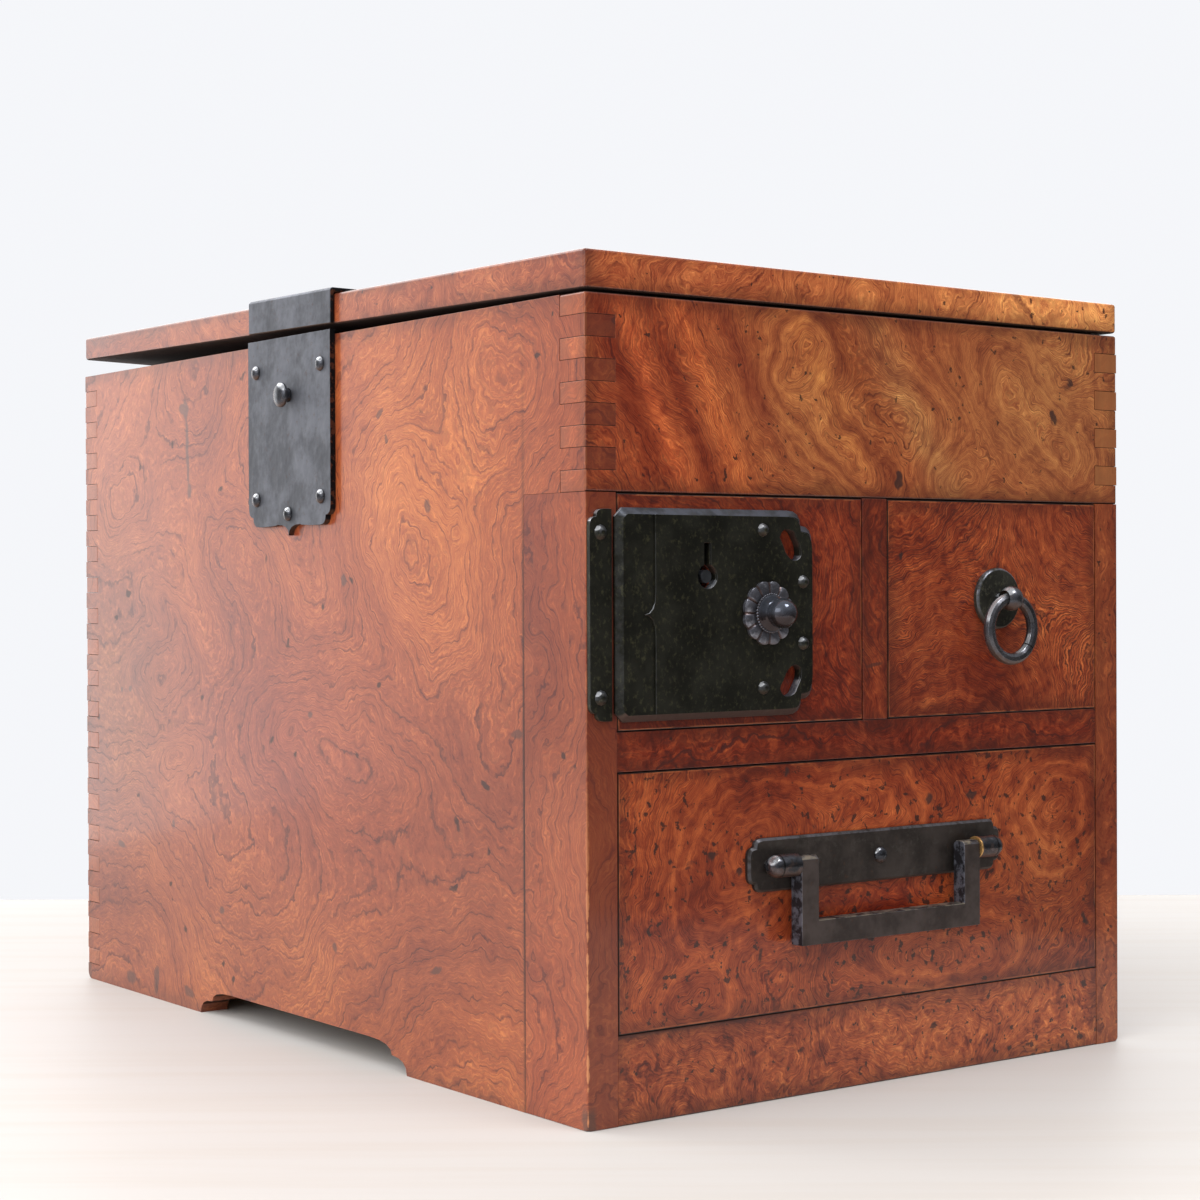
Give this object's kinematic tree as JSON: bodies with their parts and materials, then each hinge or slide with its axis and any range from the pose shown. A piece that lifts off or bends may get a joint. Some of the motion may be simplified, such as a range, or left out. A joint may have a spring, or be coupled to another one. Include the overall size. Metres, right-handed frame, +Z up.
{
  "type": "small ship chest",
  "caption": "Low burr-wood chest with black iron fittings: open compartment under a hinged lid, a locked drawer beside a ring-pull drawer, and a wide drawer with a bail handle below",
  "frame": {"origin": "on the ground, under the middle of the whole chest with its fittings", "axes": "+X to the right seen from the drawers, +Y from the drawers to the back, +Z up"},
  "size_m": [0.2856, 0.428, 0.3093],
  "materials": {
    "burr_wood": "burr wood under a worn, glossy red-brown lacquer",
    "pale_wood": "bare pale light wood, sawn and planed",
    "black_iron": "forged sheet iron, blackened, worn bright at the edges and brown in the corners",
    "worn_iron": "turned and forged iron, rubbed bright, brown on the undersides"
  },
  "bodies": {
    "carcass": {"left_side_board": "burr_wood", "right_side_board": "burr_wood", "back_board": "burr_wood", "front_apron": "burr_wood", "left_front_post": "burr_wood", "right_front_post": "burr_wood", "mid_rail": "burr_wood", "bottom_rail": "burr_wood", "divider_panel": "burr_wood", "compartment_floor": "pale_wood", "middle_shelf": "pale_wood", "bottom_board": "pale_wood", "catch_plate": "black_iron", "catch_nail_1": "worn_iron", "catch_nail_2": "worn_iron", "catch_nail_3": "worn_iron", "catch_nail_4": "worn_iron", "catch_nail_5": "worn_iron", "front_hinge_body_leaf": "black_iron", "rear_hinge_body_leaf": "black_iron", "front_hinge_pin": "worn_iron", "rear_hinge_pin": "worn_iron", "keeper_plate": "black_iron"},
    "lid": {"lid_board": "burr_wood", "lid_strap": "black_iron", "lid_tongue": "black_iron", "front_hinge_lid_leaf": "black_iron", "rear_hinge_lid_leaf": "black_iron"},
    "catch": {"catch_button": "worn_iron", "catch_latch": "black_iron"},
    "left_drawer": {"left_drawer_front": "burr_wood", "left_drawer_left_wall": "pale_wood", "left_drawer_right_wall": "pale_wood", "left_drawer_back": "pale_wood", "left_drawer_bottom": "pale_wood", "lock_plate": "black_iron", "lock_overlay": "black_iron", "lock_case": "black_iron", "lock_rosette": "worn_iron", "lock_knob": "worn_iron"},
    "bolt": {"lock_bolt": "worn_iron"},
    "right_drawer": {"right_drawer_front": "burr_wood", "right_drawer_left_wall": "pale_wood", "right_drawer_right_wall": "pale_wood", "right_drawer_back": "pale_wood", "right_drawer_bottom": "pale_wood", "ring_disc": "black_iron", "ring_eye": "worn_iron"},
    "ring": {"pull_ring": "worn_iron"},
    "lower_drawer": {"lower_drawer_front": "burr_wood", "lower_drawer_left_wall": "pale_wood", "lower_drawer_right_wall": "pale_wood", "lower_drawer_back": "pale_wood", "lower_drawer_bottom": "pale_wood", "handle_plate": "black_iron", "handle_nail": "worn_iron", "left_handle_head": "worn_iron", "right_handle_head": "worn_iron"},
    "bail": {"bail": "black_iron"}
  },
  "joints": [
    {"name": "lid_hinge", "type": "hinge", "parent": "carcass", "child": "lid", "pos_m": [0.139, 0.00905, 0.29055], "axis": [0, 1, 0], "range_deg": [0, 110]},
    {"name": "catch_button_press", "type": "slide", "parent": "carcass", "child": "catch", "axis": [1, 0, 0], "range_m": [0, 0.0025], "stiffness_N_per_m": 400},
    {"name": "left_drawer_slide", "type": "slide", "parent": "carcass", "child": "left_drawer", "axis": [0, -1, 0], "range_m": [0, 0.29]},
    {"name": "lock_bolt_slide", "type": "slide", "parent": "left_drawer", "child": "bolt", "axis": [-1, 0, 0], "range_m": [0, 0.0045]},
    {"name": "right_drawer_slide", "type": "slide", "parent": "carcass", "child": "right_drawer", "axis": [0, -1, 0], "range_m": [0, 0.29]},
    {"name": "ring_swing", "type": "hinge", "parent": "right_drawer", "child": "ring", "pos_m": [0.0642, -0.20455, 0.18275], "axis": [-1, 0, 0], "range_deg": [-10, 150]},
    {"name": "lower_drawer_slide", "type": "slide", "parent": "carcass", "child": "lower_drawer", "axis": [0, -1, 0], "range_m": [0, 0.29]},
    {"name": "bail_swing", "type": "hinge", "parent": "lower_drawer", "child": "bail", "pos_m": [0.0001, -0.20265, 0.08655], "axis": [-1, 0, 0], "range_deg": [-4, 100]}
  ]
}
